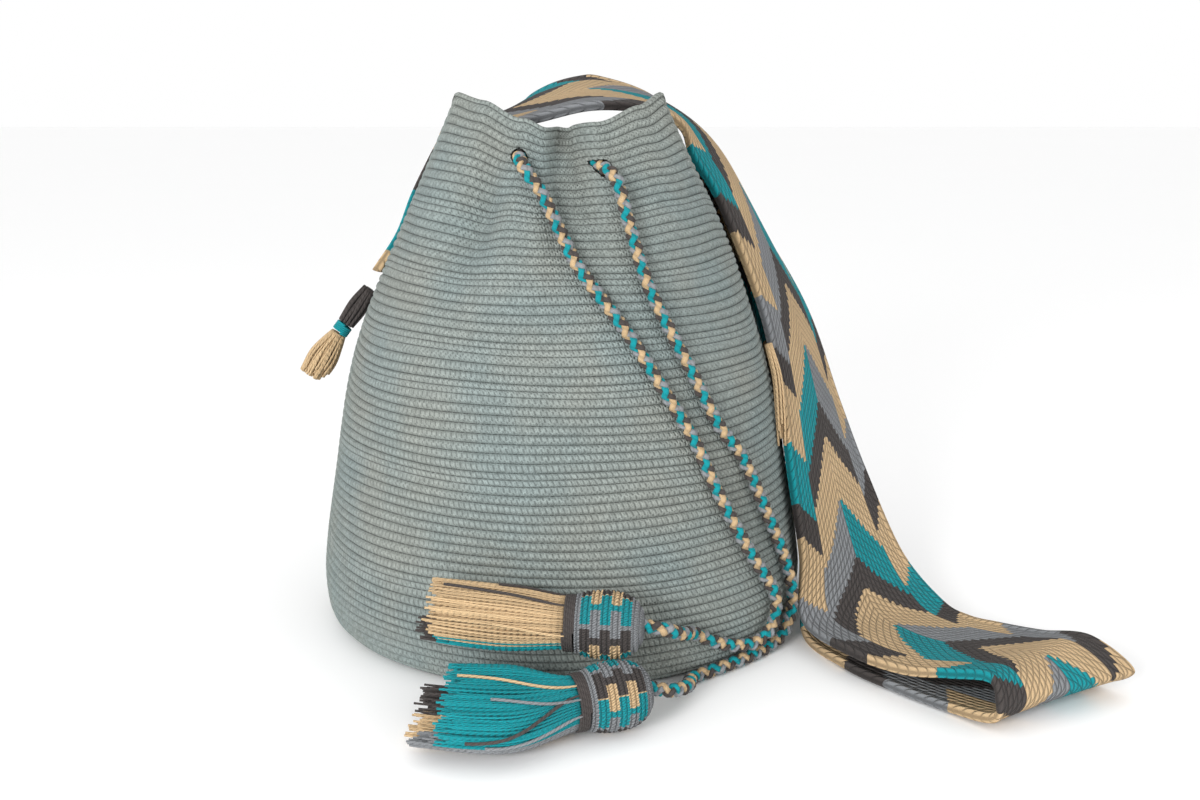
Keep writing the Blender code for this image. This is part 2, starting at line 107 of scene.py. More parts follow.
# Tassels, as in the CAD model
CAP_PROFILE = (              # distance from the cord end, radius
    (0.0000, 0.0045), (0.0020, 0.0090), (0.0060, 0.0125), (0.0120, 0.0145),
    (0.0200, 0.0147), (0.0260, 0.0138), (0.0298, 0.0125),
)
CAP_HALF_LENGTH = 0.0175
CAP_ROW = 0.0022
CAP_STITCHES = 40
CAP_COMBS_FROM = 0.0054      # the colours lie between here and the next distance along the cap
CAP_COMBS_TO = 0.0274
BINDING_START = 0.0302
BINDING_END = 0.0350
BINDING_RADIUS = 0.0125
SKIRT_START = 0.0354
SKIRT_NECK = 0.0115
SKIRT_LEAD = 0.025
YARN_RADIUS = 0.00052
YARN_SPACING = 0.00098
PLY_PITCH = 0.0028           # one turn of the yarn's twist

COLOURS = {                  # linear colour
    "teal": (0.008, 0.270, 0.305),
    "beige": (0.590, 0.420, 0.240),
    "charcoal": (0.066, 0.057, 0.054),
    "grey": (0.240, 0.250, 0.262),
}

SAGE_COOL = (0.232, 0.278, 0.271, 1.0)
SAGE_WARM = (0.262, 0.283, 0.260, 1.0)

# Fine relief in the materials
YARN_RELIEF = 0.00025
BODY_RELIEF = 0.0009
STRAP_RELIEF = 0.0012
CAP_RELIEF = 0.0007
STITCH_LEAN = 0.45           # how far a stitch leans over one row's height, in stitches
RAGGED_EDGE = 0.0012         # how far a band's edge steps in and out along a rib

THREADS = "threads"          # the coordinate layer that every yarn material reads


# Shapes --------------------------------------------------------------------------------------

def smoothstep(low, high, value):
    share = min(max((value - low) / (high - low), 0.0), 1.0)
    return share * share * (3.0 - 2.0 * share)


def smooth_table(table, value):
    """A smooth curve through a two-column table."""
    last = len(table) - 1
    index = 0
    while index < last - 1 and value > table[index + 1][0]:
        index += 1
    slopes = []
    for i in (index, index + 1):
        before = table[max(i - 1, 0)]
        after = table[min(i + 1, last)]
        slopes.append((after[1] - before[1]) / (after[0] - before[0]))
    (x0, y0), (x1, y1) = table[index], table[index + 1]
    span = x1 - x0
    t = min(max((value - x0) / span, 0.0), 1.0)
    start = y0 * (1 + 2 * t) * (1 - t) ** 2 + slopes[0] * span * t * (1 - t) ** 2
    return start + y1 * t * t * (3 - 2 * t) - slopes[1] * span * t * t * (1 - t)


def rim_height(azimuth):
    azimuth = azimuth % 360.0
    closed = RIM + ((RIM[0][0] + 360, RIM[0][1]),)
    for (a0, z0), (a1, z1) in zip(closed, closed[1:]):
        if azimuth <= a1:
            return z0 + (z1 - z0) * smoothstep(a0, a1, azimuth)
    return closed[-1][1]


def wall_point(azimuth, height, stand_off=0.0):
    """A point on the bag's outer wall, or stand_off metres outside it, as the CAD model has it."""
    fold = max(0.0, (height / EAR_HEIGHT - FOLDING_FROM) / (1.0 - FOLDING_FROM))
    z = height - (EAR_HEIGHT - rim_height(azimuth)) * fold ** 2
    angle = math.radians(azimuth)
    radius = smooth_table(PROFILE, height) * (1.0 - MOUTH_FLATTENING * fold * math.sin(angle) ** 2)
    from_pleat = abs((azimuth - PLEAT_AZIMUTH + 180.0) % 360.0 - 180.0) / PLEAT_HALF_WIDTH
    radius -= PLEAT_DEPTH * fold ** 2 * (1.0 - smoothstep(0.5, 1.15, from_pleat))
    below = smooth_table(PROFILE, max(height - 0.004, 0.0))
    above = smooth_table(PROFILE, min(height + 0.004, EAR_HEIGHT))
    slope = (above - below) / 0.008
    level = 1.0 / math.sqrt(1.0 + slope * slope)
    radius += stand_off * level
    z -= stand_off * slope * level
    return Vector((radius * math.cos(angle), radius * math.sin(angle), z))


def smooth_route(points, steps):
    """Catmull-Rom curve through the route's own points, steps samples to each span."""
    points = [Vector(p) for p in points]
    padded = [2 * points[0] - points[1]] + points + [2 * points[-1] - points[-2]]
    route = []
    for p0, p1, p2, p3 in zip(padded, padded[1:], padded[2:], padded[3:]):
        for step in range(steps):
            t = step / steps
            route.append(0.5 * (2 * p1 + (p2 - p0) * t + (2 * p0 - 5 * p1 + 4 * p2 - p3) * t ** 2
                                + (3 * p1 - p0 - 3 * p2 + p3) * t ** 3))
    route.append(points[-1])
    return route


def route_lengths(route):
    """Distance along the route of each of its points."""
    lengths = [0.0]
    for a, b in zip(route, route[1:]):
        lengths.append(lengths[-1] + (b - a).length)
    return lengths


def evenly_spaced(route, spacing):
    """The same route with its points an equal distance apart."""
    lengths = route_lengths(route)
    count = max(2, round(lengths[-1] / spacing))
    spaced = []
    index = 0
    for step in range(count + 1):
        target = lengths[-1] * step / count
        while index < len(route) - 2 and lengths[index + 1] < target:
            index += 1
        share = (target - lengths[index]) / (lengths[index + 1] - lengths[index])
        spaced.append(route[index].lerp(route[index + 1], min(share, 1.0)))
    return spaced


def square_frames(route):
    """Two directions square to the route at each point, turning as little as possible along it."""
    along = (route[1] - route[0]).normalized()
    side = along.orthogonal().normalized()
    frames = []
    for i in range(len(route)):
        along = (route[min(i + 1, len(route) - 1)] - route[max(i - 1, 0)]).normalized()
        side = (side - along * side.dot(along)).normalized()
        frames.append((side, along.cross(side)))
    return frames


class Skin:
    """Collects the faces of one mesh, with thread coordinates on every face corner."""

    def __init__(self):
        self.points = []
        self.faces = []
        self.threads = []
        self.slots = []

    def add_face(self, corners, threads, slot):
        self.faces.append(corners)
        self.threads.extend(threads)
        self.slots.append(slot)

    def loft(self, loops, thread, slot=0, capped=True):
        """Joins matching loops. thread(strip, ring, step) gives a corner's thread coordinates."""
        first = len(self.points)
        around = len(loops[0])
        for loop in loops:
            self.points.extend(loop)
        for strip in range(len(loops) - 1):
            low = first + strip * around
            for j in range(around):
                k = (j + 1) % around
                corners = (low + j, low + k, low + around + k, low + around + j)
                threads = (thread(strip, strip, j), thread(strip, strip, j + 1),
                           thread(strip, strip + 1, j + 1), thread(strip, strip + 1, j))
                self.add_face(corners, threads, slot)
        if capped:
            last = first + (len(loops) - 1) * around
            end = len(loops) - 1
            self.add_face(tuple(first + j for j in reversed(range(around))),
                          [thread(0, 0, j) for j in reversed(range(around))], slot)
            self.add_face(tuple(last + j for j in range(around)),
                          [thread(end - 1, end, j) for j in range(around)], slot)

    def yarn(self, route, radii, sides, number, slot=0):
        """A single round yarn. Its thread coordinates are (number + share around, distance along)."""
        lengths = route_lengths(route)
        loops = []
        for point, (side, other), radius in zip(route, square_frames(route), radii):
            loop = []
            for j in range(sides):
                angle = math.tau * j / sides
                loop.append(point + (side * math.cos(angle) + other * math.sin(angle)) * radius)
            loops.append(loop)
        self.loft(loops, lambda strip, ring, j: (number + j / sides, lengths[ring]), slot)

    def build(self, name, materials):
        mesh = bpy.data.meshes.new(name)
        mesh.from_pydata(self.points, [], self.faces)
        layer = mesh.uv_layers.new(name=THREADS)
        layer.data.foreach_set("uv", [value for pair in self.threads for value in pair])
        mesh.polygons.foreach_set("material_index", self.slots)
        for material in materials:
            mesh.materials.append(material)
        shape = bmesh.new()
        shape.from_mesh(mesh)
        bmesh.ops.recalc_face_normals(shape, faces=shape.faces)
        shape.to_mesh(mesh)
        shape.free()
        mesh.shade_smooth()
        piece = bpy.data.objects.new(name, mesh)
        bpy.context.scene.collection.objects.link(piece)
        return piece


# Materials -----------------------------------------------------------------------------------

class Graph:
    """A material's nodes, with short ways to add to them."""

    def __init__(self, name, roughness=0.92):
        self.material = bpy.data.materials.new(name)
        self.material.use_nodes = True
        self.tree = self.material.node_tree
        self.shader = self.tree.nodes["Principled BSDF"]
        self.shader.inputs["Roughness"].default_value = roughness
        self.shader.inputs["Specular IOR Level"].default_value = 0.12
        self.shader.inputs["Sheen Weight"].default_value = 0.05
        self.shader.inputs["Sheen Roughness"].default_value = 0.6

    def put(self, socket, value):
        if isinstance(value, bpy.types.NodeSocket):
            self.tree.links.new(value, socket)
        else:
            socket.default_value = value

    def math(self, operation, *values):
        node = self.tree.nodes.new("ShaderNodeMath")
        node.operation = operation
        for socket, value in zip(node.inputs, values):
            self.put(socket, value)
        return node.outputs[0]

    def times(self, first, *others):
        """The product of several values."""
        for other in others:
            first = self.math("MULTIPLY", first, other)
        return first

    def plus(self, first, second):
        return self.math("ADD", first, second)

    def less(self, first, second):
        return self.math("SUBTRACT", first, second)

    def threads(self):
        """The two thread coordinates."""
        layer = self.tree.nodes.new("ShaderNodeUVMap")
        layer.uv_map = THREADS
        parts = self.tree.nodes.new("ShaderNodeSeparateXYZ")
        self.put(parts.inputs[0], layer.outputs[0])
        return parts.outputs[0], parts.outputs[1]

    def place(self, x, y, z=0.0):
        node = self.tree.nodes.new("ShaderNodeCombineXYZ")
        for socket, value in zip(node.inputs, (x, y, z)):
            self.put(socket, value)
        return node.outputs[0]

    def object_place(self):
        return self.tree.nodes.new("ShaderNodeTexCoord").outputs["Object"]

    def noise(self, place, scale, detail=2.0):
        node = self.tree.nodes.new("ShaderNodeTexNoise")
        self.put(node.inputs["Vector"], place)
        node.inputs["Scale"].default_value = scale
        node.inputs["Detail"].default_value = detail
        return node.outputs["Fac"]

    def chance(self, value):
        """A random number from 0 to 1 for each whole value."""
        node = self.tree.nodes.new("ShaderNodeTexWhiteNoise")
        node.noise_dimensions = "1D"
        self.put(node.inputs["W"], self.math("FLOOR", value))
        return node.outputs["Value"]

    def mix(self, share, first, second):
        node = self.tree.nodes.new("ShaderNodeMix")
        node.data_type = "RGBA"
        for index, value in ((0, share), (6, first), (7, second)):
            self.put(node.inputs[index], value)
        return node.outputs[2]

    def spread(self, value, low, high, new_low, new_high):
        """Maps low..high to new_low..new_high, and holds there outside."""
        node = self.tree.nodes.new("ShaderNodeMapRange")
        for socket, item in zip(node.inputs, (value, low, high, new_low, new_high)):
            self.put(socket, item)
        return node.outputs[0]

    def shaded(self, colour, factor):
        """A colour times a factor."""
        node = self.tree.nodes.new("ShaderNodeMix")
        node.data_type = "RGBA"
        node.blend_type = "MULTIPLY"
        node.inputs[0].default_value = 1.0
        self.put(node.inputs[6], colour)
        self.put(node.inputs[7], self.place(factor, factor, factor))
        return node.outputs[2]

    def bands(self, value, starts, names):
        """Plain colours from a value between 0 and 1, each from its own start."""
        node = self.tree.nodes.new("ShaderNodeValToRGB")
        ramp = node.color_ramp
        ramp.interpolation = "CONSTANT"
        while len(ramp.elements) < len(starts):
            ramp.elements.new(0.5)
        for element, start, name in zip(ramp.elements, starts, names):
            element.position = start
            element.color = (*COLOURS[name], 1.0)
        self.put(node.inputs[0], value)
        return node.outputs[0]

    def arch(self, value, power=2.0):
        """1 in the middle of each unit cell and 0 at its sides."""
        centred = self.math("SUBTRACT", self.math("MULTIPLY", self.math("FRACT", value), 2.0), 1.0)
        return self.math("SUBTRACT", 1.0, self.math("POWER", self.math("ABSOLUTE", centred), power))

    def relief(self, height, distance, strength=1.0):
        node = self.tree.nodes.new("ShaderNodeBump")
        node.inputs["Strength"].default_value = strength
        node.inputs["Distance"].default_value = distance
        self.put(node.inputs["Height"], height)
        self.put(self.shader.inputs["Normal"], node.outputs[0])

    def finish(self, colour):
        self.put(self.shader.inputs["Base Color"], colour)
        return self.material


def yarn_material(name):
    """Soft plied yarn: slanted plies with painted shade in the grooves between them, a shade of its own for
    each yarn, and fine fibres.
    """
    graph = Graph(f"{name}_yarn")
    around, along = graph.threads()
    turns = graph.math("DIVIDE", along, PLY_PITCH)
    ply = graph.arch(graph.plus(graph.times(around, 2.0), turns), 2.0)
    fibre = graph.noise(graph.object_place(), 2600.0, 3.0)
    patch = graph.noise(graph.object_place(), 90.0)
    # Painted shade: the colour darkens in the grooves between the plies; the yarn's own tone, fibres and
    # patches vary at random.
    painted_shade_and_tone = graph.times(
        graph.spread(ply, 0.0, 0.7, 0.74, 1.0),
        graph.spread(graph.chance(around), 0.0, 1.0, 0.84, 1.10),
        graph.spread(fibre, 0.3, 0.7, 0.82, 1.12),
        graph.spread(patch, 0.3, 0.7, 0.93, 1.05),
    )
    graph.relief(graph.plus(ply, graph.times(fibre, 0.6)), YARN_RELIEF)
    return graph.finish(graph.shaded((*COLOURS[name], 1.0), painted_shade_and_tone))


def crochet_stitch(graph, stitches, rows):
    """Single crochet's beads, their two legs and the row's ridge, each from 0 to 1, and the bead count."""
    leaning = graph.plus(stitches, graph.times(graph.math("FRACT", rows), STITCH_LEAN))
    shifted = graph.plus(leaning, graph.times(graph.chance(rows), 7.0))
    bead = graph.arch(shifted, 2.0)
    legs = graph.arch(graph.times(shifted, 2.0), 2.0)
    ridge = graph.arch(rows, 4.0)
    return bead, legs, ridge, shifted


def body_material():
    """Heather sage-grey crochet, with painted shade in dashes in the grooves between the rows and between
    the stitches.
    """
    graph = Graph("sage_crochet")
    stitches, rows = graph.threads()
    bead, legs, ridge, shifted = crochet_stitch(graph, stitches, rows)
    spot = graph.object_place()
    fibre = graph.noise(spot, 2200.0, 3.0)
    fleck = graph.noise(spot, 520.0, 2.0)
    cloud = graph.noise(spot, 22.0, 2.0)
    own_shade = graph.chance(graph.plus(shifted, graph.times(rows, 31.0)))
    # Painted shade: the colour is darkened in dashes in the grooves between the rows, in the partings
    # between beads on each ridge and a little between each stitch's legs.
    groove = graph.spread(ridge, 0.0, 0.62, 1.0, 0.0)
    painted_groove_shade = graph.times(groove, graph.spread(bead, 0.05, 0.45, 0.35, 1.0))
    painted_parting_shade = graph.times(graph.spread(bead, 0.0, 0.35, 1.0, 0.0), ridge)
    # The factor below is painted shade in the grooves and partings, times the yarn's own random fleck, fibre
    # and stitch-to-stitch tone.
    painted_shade_and_tone = graph.times(
        graph.spread(painted_groove_shade, 0.0, 1.0, 1.0, 0.20),
        graph.spread(painted_parting_shade, 0.0, 1.0, 1.0, 0.80),
        graph.spread(legs, 0.0, 0.5, 0.92, 1.0),
        graph.spread(fleck, 0.35, 0.65, 0.84, 1.14),
        graph.spread(fibre, 0.3, 0.7, 0.88, 1.10),
        graph.spread(own_shade, 0.0, 1.0, 0.94, 1.06),
    )
    warm = graph.mix(graph.spread(cloud, 0.35, 0.65, 0.0, 1.0), SAGE_COOL, SAGE_WARM)
    stitch = graph.plus(graph.times(bead, 0.7), graph.times(legs, 0.25))
    graph.relief(graph.plus(graph.times(stitch, ridge), graph.times(fibre, 0.3)), BODY_RELIEF)
    return graph.finish(graph.shaded(warm, painted_shade_and_tone))


def band_starts():
    """Where each band of one zigzag period starts, as shares of the period."""
    starts = []
    position = 0.0
    for band in BANDS + BANDS:
        starts.append(position / ZIGZAG_PERIOD)
        position += band
    return starts


def lag(graph, reach):
    """How far a rib's bands lie behind the middle rib's. reach is its share of the half width."""
    fall = graph.times(reach, ZIGZAG_DROP / ZIGZAG_VALLEY)
    past = graph.less(reach, ZIGZAG_VALLEY)
    delay = graph.less(BORDER_DELAY, graph.times(past, BORDER_RISE / (1.0 - ZIGZAG_VALLEY)))
    in_border = graph.math("GREATER_THAN", past, 0.0)
    return graph.plus(graph.times(in_border, delay), graph.times(graph.less(1.0, in_border), fall))


def strap_material():
    """Woven ribs in a zigzag of teal, grey, charcoal and beige, with a border that lags behind, and painted
    shade between the stitches and ribs.
    """
    graph = Graph("woven_zigzag")
    across, along = graph.threads()
    rib = graph.math("DIVIDE", across, RIB_WIDTH)
    rib_number = graph.math("FLOOR", rib)
    right = graph.math("GREATER_THAN", across, 0.0)
    lean = graph.less(graph.times(right, 2.0), 1.0)
    slant = graph.times(graph.math("FRACT", rib), graph.times(lean, -0.55))
    brick = graph.times(graph.math("PINGPONG", rib_number, 1.0), 0.5)
    stitch = graph.plus(graph.math("DIVIDE", along, STITCH_LENGTH), graph.plus(slant, brick))
    middle_of_rib = graph.times(graph.plus(rib_number, 0.5), RIB_WIDTH)
    reach = graph.math("DIVIDE", graph.math("ABSOLUTE", middle_of_rib), STRAP_WIDTH / 2)
    woven = graph.less(along, graph.plus(lag(graph, reach), ZIGZAG_START))
    woven = graph.plus(woven, graph.times(graph.arch(stitch, 2.0), RAGGED_EDGE))
    position = graph.math("FRACT", graph.math("DIVIDE", woven, ZIGZAG_PERIOD))
    starts = band_starts()
    left_half = graph.bands(position, starts, ("teal", "charcoal", "beige", "grey", "charcoal", "beige"))
    right_half = graph.bands(position, starts, ("grey", "charcoal", "beige", "teal", "charcoal", "beige"))
    colour = graph.mix(right, left_half, right_half)
    knot = graph.times(graph.arch(rib, 2.0), graph.arch(stitch, 4.0))
    fibre = graph.noise(graph.object_place(), 2400.0, 3.0)
    patch = graph.noise(graph.object_place(), 45.0)
    # Painted shade: the colour darkens between the knots of stitches, across and along the ribs; fibre and
    # patch are the yarn's own random tone.
    painted_shade_and_tone = graph.times(
        graph.spread(knot, 0.0, 0.55, 0.50, 1.0),
        graph.spread(fibre, 0.3, 0.7, 0.86, 1.12),
        graph.spread(patch, 0.3, 0.7, 0.92, 1.05),
    )
    graph.relief(graph.plus(knot, graph.times(fibre, 0.35)), STRAP_RELIEF)
    return graph.finish(graph.shaded(colour, painted_shade_and_tone))


def cap_material(name, turned_by):
    """Crocheted cap: four colours round it, interlocked like combs, with a grey dome and collar, and painted
    shade between the rounds and stitches.
    """
    graph = Graph(name)
    around, along = graph.threads()
    stitches = graph.times(around, CAP_STITCHES)
    bead, legs, ridge, _ = crochet_stitch(graph, stitches, graph.math("DIVIDE", along, CAP_ROW))
    turned = graph.less(turned_by / 360.0, around)
    position = graph.math("FRACT", graph.times(turned, 3.0))
    tooth_number = graph.math("DIVIDE", graph.less(along, CAP_COMBS_FROM), 2 * CAP_ROW)
    tooth = graph.math("PINGPONG", graph.math("FLOOR", tooth_number), 1.0)
    wide_teal = graph.bands(position, (0.0, 0.49, 0.56, 0.98), ("teal", "grey", "charcoal", "beige"))
    wide_grey = graph.bands(position, (0.0, 0.18, 0.28, 0.68, 0.80),
                            ("beige", "teal", "grey", "charcoal", "beige"))
    combs = graph.mix(tooth, wide_teal, wide_grey)
    plain = graph.math("MAXIMUM", graph.math("LESS_THAN", along, CAP_COMBS_FROM),
                       graph.math("GREATER_THAN", along, CAP_COMBS_TO))
    colour = graph.mix(plain, combs, (*COLOURS["grey"], 1.0))
    fibre = graph.noise(graph.object_place(), 2600.0, 3.0)
    knot = graph.times(ridge, graph.spread(bead, 0.0, 0.6, 0.30, 1.0))
    # Painted shade: the colour darkens in the grooves between rounds, between the beads and between each
    # stitch's legs; fibre is the yarn's own random tone.
    painted_shade_and_tone = graph.times(
        graph.spread(knot, 0.0, 0.7, 0.50, 1.05),
        graph.spread(fibre, 0.3, 0.7, 0.84, 1.12),
        graph.spread(legs, 0.0, 0.4, 0.80, 1.0),
    )
    graph.relief(graph.plus(graph.times(legs, ridge), graph.times(fibre, 0.4)), CAP_RELIEF)
    return graph.finish(graph.shaded(colour, painted_shade_and_tone))


def floor_material():
    graph = Graph("studio_floor", roughness=0.6)
    graph.shader.inputs["Sheen Weight"].default_value = 0.0
    haze = graph.noise(graph.object_place(), 3.0)
    return graph.finish(graph.shaded((0.97, 0.97, 0.97, 1.0), graph.spread(haze, 0.0, 1.0, 0.99, 1.0)))


# Bag body ------------------------------------------------------------------------------------

def row_edges():
    """Heights of the rows' lower edges, and of the rim above the last one."""
    edges = [0.0]
    while edges[-1] < EAR_HEIGHT:
        fine = len(edges) - 1 in FINE_ROWS
        edges.append(edges[-1] + (FINE_ROW_PITCH if fine else ROW_PITCH))
    return [edge * EAR_HEIGHT / edges[-1] for edge in edges]


def handmade_offset(azimuth, height):
    """How far the wall stands proud of the CAD wall: slack waves, a hollow and a soft ridge."""
    angle = math.radians(azimuth)
    wave = 0.0005 * math.sin(3 * angle + 38 * height) + 0.0004 * math.sin(7 * angle - 61 * height + 1.3)
    hollow = math.exp(-((azimuth - 236) / 11) ** 2 - ((height - 0.212) / 0.028) ** 2)
    ridge = math.exp(-((azimuth - 264.5) / 3.5) ** 2 - ((height - 0.100) / 0.050) ** 2)
    return wave - 0.0130 * hollow + 0.0014 * ridge


def wall_ring(height, stand_off, lift=0.0):
    """A ring of the wall, with the slack of soft fabric easing off towards the base."""
    slack = smoothstep(0.0, 0.03, height)
    ring = []
    for i in range(BODY_AROUND):
        azimuth = SEAM_OF_ROWS + 360.0 * i / BODY_AROUND
        wander = 0.0005 * slack * math.sin(math.radians(5 * azimuth) + 83 * height)
        proud = stand_off + slack * handmade_offset(azimuth % 360, height)
        point = wall_point(azimuth, min(max(height + wander, 0.0), EAR_HEIGHT), proud)
        ring.append(point + Vector((0.0, 0.0, lift)))
    return ring


def stitches_in_row(height):
    return max(8, round(math.tau * smooth_table(PROFILE, height) / STITCH_WIDTH))


def add_bag_body():
    """One crocheted shell: spiral base, ridged wall, rolled rim and inner face."""
    edges = row_edges()
    loops = []
    marks = []               # for each loop: its place counted in rows, and the stitches round it
    base_radius = PROFILE[0][1]
    base_rows = round(base_radius / ROW_PITCH)
    for row in range(1, base_rows):
        share = row / base_rows
        lift = 0.0007 if row % 2 else 0.0
        loops.append([Vector((p.x * share, p.y * share, lift)) for p in wall_ring(0.0, 0.0)])
        marks.append((row - base_rows, max(8, round(math.tau * base_radius * share / STITCH_WIDTH))))
    for row, (low, high) in enumerate(zip(edges, edges[1:])):
        fine = row in FINE_ROWS
        depth = FINE_ROW_DEPTH if fine else ROW_DEPTH
        for sample in ROW_SAMPLES:
            height = low + (high - low) * sample
            groove = depth * abs(2 * sample - 1) ** 3 * smoothstep(0.0, 0.006, height)
            loops.append(wall_ring(height, -groove))
            marks.append((row + sample, stitches_in_row(height)))
    rows = len(edges) - 1
    roll = WALL / 2 + 0.0004
    for turn in (0, 40, 80, 120, 160):
        angle = math.radians(turn)
        loops.append(wall_ring(EAR_HEIGHT, roll * math.cos(angle) - WALL / 2, roll * math.sin(angle)))
        marks.append((rows + turn / 160, stitches_in_row(EAR_HEIGHT)))
    for row in range(rows, 2, -1):
        groove = 0.0004 if row % 2 else -0.0003
        loops.append(wall_ring(edges[row - 1], -WALL + groove))
        marks.append((2 * rows + 1 - row, stitches_in_row(edges[row - 1])))
    inner_edge = loops[-1]
    for step in range(1, 8):
        share = 1.0 - step / 8
        loops.append([Vector((p.x * share, p.y * share, WALL)) for p in inner_edge])
        marks.append((2 * rows + step * 3, max(8, round(math.tau * base_radius * share / STITCH_WIDTH))))

    def thread(strip, ring, step):
        return marks[strip][1] * step / BODY_AROUND, marks[ring][0]

    skin = Skin()
    skin.loft(loops, thread)
    body = skin.build("crocheted_body", [body_material()])
    for route in (left_tail_route(), right_tail_route()):
        cut_eyelet(body, route)
    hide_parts("bag_body")
    return body


def cut_eyelet(body, route):
    """A hole through the wall along a tail, whose second point is in the middle of the wall."""
    bpy.ops.mesh.primitive_cylinder_add(vertices=20, radius=EYELET_DIAMETER / 2, depth=0.018)
    cutter = bpy.context.object
    cutter.location = route[1]
    cutter.rotation_euler = (route[2] - route[0]).to_track_quat("Z", "Y").to_euler()
    cut = body.modifiers.new("eyelet", "BOOLEAN")
    cut.operation = "DIFFERENCE"
    cut.solver = "EXACT"
    cut.object = cutter
    bpy.context.view_layer.update()
    evaluated = body.evaluated_get(bpy.context.evaluated_depsgraph_get())
    mesh = bpy.data.meshes.new_from_object(evaluated)
    body.modifiers.clear()
    body.data = mesh
    bpy.data.objects.remove(cutter, do_unlink=True)


# Strap ---------------------------------------------------------------------------------------

def strap_profile():
    """(share of the half width, half thickness) across the strap."""
    inner = STRAP_EDGE[0][0]
    middle = []
    for i in range(STRAP_COLUMNS + 1):
        middle.append((inner * (2.0 * i / STRAP_COLUMNS - 1.0), STRAP_HALF_THICKNESS))
    left = [(-share, half) for share, half in reversed(STRAP_EDGE)]
    return left[:-1] + [(-inner, STRAP_EDGE[0][1])] + middle[1:-1] + list(STRAP_EDGE)


STRAP_PROFILE = strap_profile()


def seam_section(azimuth, height, stand_off, turn, lean, flare=0.0):
    """Section where the strap wraps the wall. lean is the way its right side looks, 0 away from the bag."""
    middle = wall_point(azimuth, height, stand_off)
    reach = turn * math.degrees(STRAP_WIDTH / 2 / math.hypot(middle.x, middle.y))
    top = []
    bottom = []
    for share, half in STRAP_PROFILE:
        rise = half * math.sin(math.radians(lean))
        offset = half * math.cos(math.radians(lean))
        lifted = stand_off + flare * max(-share, 0.0) ** 2
        top.append(wall_point(azimuth + reach * share, height + rise, lifted + offset))
        bottom.append(wall_point(azimuth + reach * share, height - rise, lifted - offset))
    return top + bottom[::-1]


def free_section(centre, across, along, bow):
    """Section where the strap hangs or lies free, bowed by the curvature given."""
    across = (across - along * across.dot(along)).normalized()
    facing = across.cross(along)
    top = []
    bottom = []
    for share, half in STRAP_PROFILE:
        v = STRAP_WIDTH / 2 * share
        middle = centre + across * (v * (1.0 - (bow * v) ** 2 / 6.0)) - facing * (bow * v * v / 2.0)
        square = (facing + across * (bow * v)).normalized()
        top.append(middle + square * half)
        bottom.append(middle - square * half)
    return top + bottom[::-1]


FREE_STRAP = (               # centre, direction across from the near edge to the far edge, bow
    ((-0.0425, 0.0350, 0.2485), (0.48, 0.87, -0.05), -8.0),
    ((-0.0290, 0.0300, 0.2530), (0.16, 0.98, 0.10), -2.0),
    ((-0.0100, 0.0270, 0.2585), (0.02, 0.99, 0.16), 0.0),
    ((0.0120, 0.0260, 0.2640), (0.00, 0.99, 0.16), 0.0),
    ((0.0320, 0.0310, 0.2630), (0.04, 0.99, 0.10), 0.0),
    ((0.0550, 0.0420, 0.2560), (0.10, 0.99, 0.00), -3.0),
    ((0.0765, 0.0430, 0.2390), (0.17, 0.98, 0.00), -9.0),
    ((0.0945, 0.0390, 0.2110), (0.18, 0.98, 0.00), -9.0),
    ((0.1195, 0.0285, 0.1555), (0.36, 0.93, -0.05), -5.0),
    ((0.1318, 0.0115, 0.1085), (0.48, 0.86, -0.14), -3.0),
    ((0.1385, -0.0085, 0.0727), (0.60, 0.78, -0.17), -1.0),
    ((0.1497, -0.0205, 0.0330), (0.74, 0.65, -0.15), 0.0),
    ((0.1562, -0.0490, 0.0130), (0.79, 0.61, 0.10), 0.0),
    ((0.1690, -0.0760, 0.0112), (0.75, 0.66, 0.00), 0.0),
    ((0.1850, -0.0950, 0.0125), (0.72, 0.69, 0.00), 0.0),
    ((0.2010, -0.1125, 0.0170), (0.79, 0.61, -0.02), 0.0),
    ((0.2160, -0.1285, 0.0215), (0.86, 0.51, -0.05), 0.0),
    ((0.2240, -0.1405, 0.0135), (0.89, 0.45, -0.05), 0.0),
    ((0.2175, -0.1320, 0.0046), (0.87, 0.49, 0.02), 0.0),
    ((0.2020, -0.1140, 0.0032), (0.79, 0.61, 0.01), 0.0),
    ((0.1850, -0.0950, 0.0027), (0.72, 0.69, 0.00), 0.0),
    ((0.1690, -0.0740, 0.0027), (0.75, 0.66, 0.00), 0.0),
    ((0.1590, -0.0450, 0.0040), (0.78, 0.62, 0.13), 0.0),
    ((0.1560, -0.0110, 0.0220), (0.66, 0.74, -0.15), 0.0),
    ((0.1425, 0.0150, 0.0600), (0.38, 0.90, -0.20), 1.0),
    ((0.1215, 0.0420, 0.1000), (0.10, 0.95, -0.25), 4.0),
    ((0.1030, 0.0575, 0.1400), (-0.18, 0.95, -0.22), 6.0),
    ((0.0855, 0.0645, 0.1740), (-0.42, 0.89, -0.16), 9.0),
    ((0.0665, 0.0660, 0.2010), (-0.60, 0.80, -0.08), 10.0),
)


